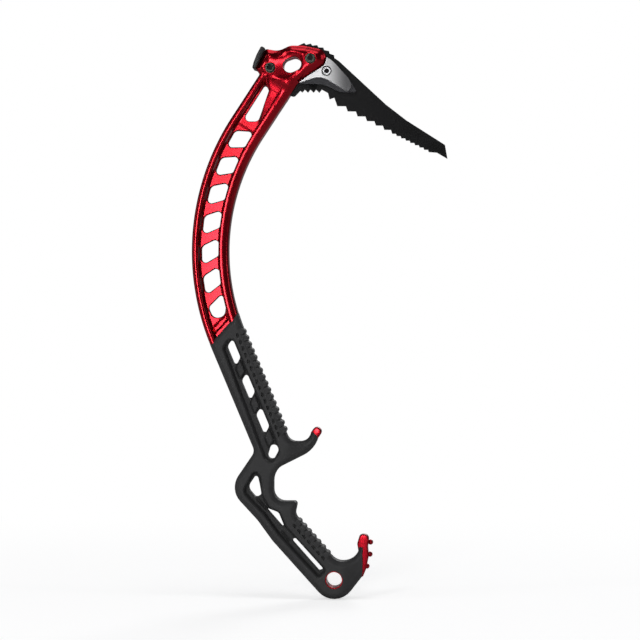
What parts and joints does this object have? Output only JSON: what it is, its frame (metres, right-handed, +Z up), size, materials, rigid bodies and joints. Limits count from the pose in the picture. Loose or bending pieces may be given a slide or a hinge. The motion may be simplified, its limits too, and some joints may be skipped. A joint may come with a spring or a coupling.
{
  "type": "ice climbing tool",
  "caption": "Technical ice tool: a curved one-piece forged metal frame with windows, moulded rubber grip with trigger and pommel, toothed pick with weights, and a small hammer.",
  "frame": {"origin": "the middle of the oval eye through the head, halfway through the head's thickness", "axes": "+X from the hammer to the pick, +Z up from the pommel to the head, +Y from the side of the bolt heads to the side of the nuts"},
  "size_m": [0.2299, 0.0248, 0.4998],
  "materials": {
    "red_metal": "red anodised, glossy, lightly worn",
    "rubber": "matt moulded rubber",
    "dark_steel": "dark coated steel, satin",
    "bright_steel": "brushed bare steel",
    "black_steel": "blackened steel",
    "grey_steel": "dull grey steel"
  },
  "bodies": {
    "frame": {"shaft_frame": "red_metal", "grip_rubber": "rubber", "pick": "dark_steel", "hammer": "dark_steel", "weight_near": "bright_steel", "weight_far": "bright_steel", "front_nut": "black_steel", "rear_nut": "black_steel", "weight_nut": "bright_steel"},
    "front_washer_slide": {"front_washer": "grey_steel"},
    "front_bolt_turn": {"front_bolt": "black_steel"},
    "rear_washer_slide": {"rear_washer": "grey_steel"},
    "rear_bolt_turn": {"rear_bolt": "black_steel"},
    "weight_washer_slide": {"weight_washer": "grey_steel"},
    "weight_bolt_turn": {"weight_bolt": "bright_steel"}
  },
  "joints": [
    {"name": "front_bolt_out", "type": "slide", "parent": "frame", "child": "front_washer_slide", "axis": [0, -1, 0], "range_m": [0, 0.0051]},
    {"name": "front_bolt_unscrew", "type": "hinge", "parent": "front_washer_slide", "child": "front_bolt_turn", "pos_m": [0.0164, 0, 0.006], "axis": [0, -1, 0], "range_deg": [0, 1800]},
    {"name": "rear_bolt_out", "type": "slide", "parent": "frame", "child": "rear_washer_slide", "axis": [0, -1, 0], "range_m": [0, 0.0051]},
    {"name": "rear_bolt_unscrew", "type": "hinge", "parent": "rear_washer_slide", "child": "rear_bolt_turn", "pos_m": [-0.0198, 0, -0.0022], "axis": [0, -1, 0], "range_deg": [0, 1800]},
    {"name": "weight_bolt_out", "type": "slide", "parent": "frame", "child": "weight_washer_slide", "axis": [0, -1, 0], "range_m": [0, 0.0057]},
    {"name": "weight_bolt_unscrew", "type": "hinge", "parent": "weight_washer_slide", "child": "weight_bolt_turn", "pos_m": [0.0311, 0, -0.0056], "axis": [0, -1, 0], "range_deg": [0, 2520]}
  ],
  "couplings": [
    {"joint": "front_bolt_out", "follows": "front_bolt_unscrew", "m_per_rad": 0.00015915},
    {"joint": "rear_bolt_out", "follows": "rear_bolt_unscrew", "m_per_rad": 0.00015915},
    {"joint": "weight_bolt_out", "follows": "weight_bolt_unscrew", "m_per_rad": 0.00012732}
  ]
}
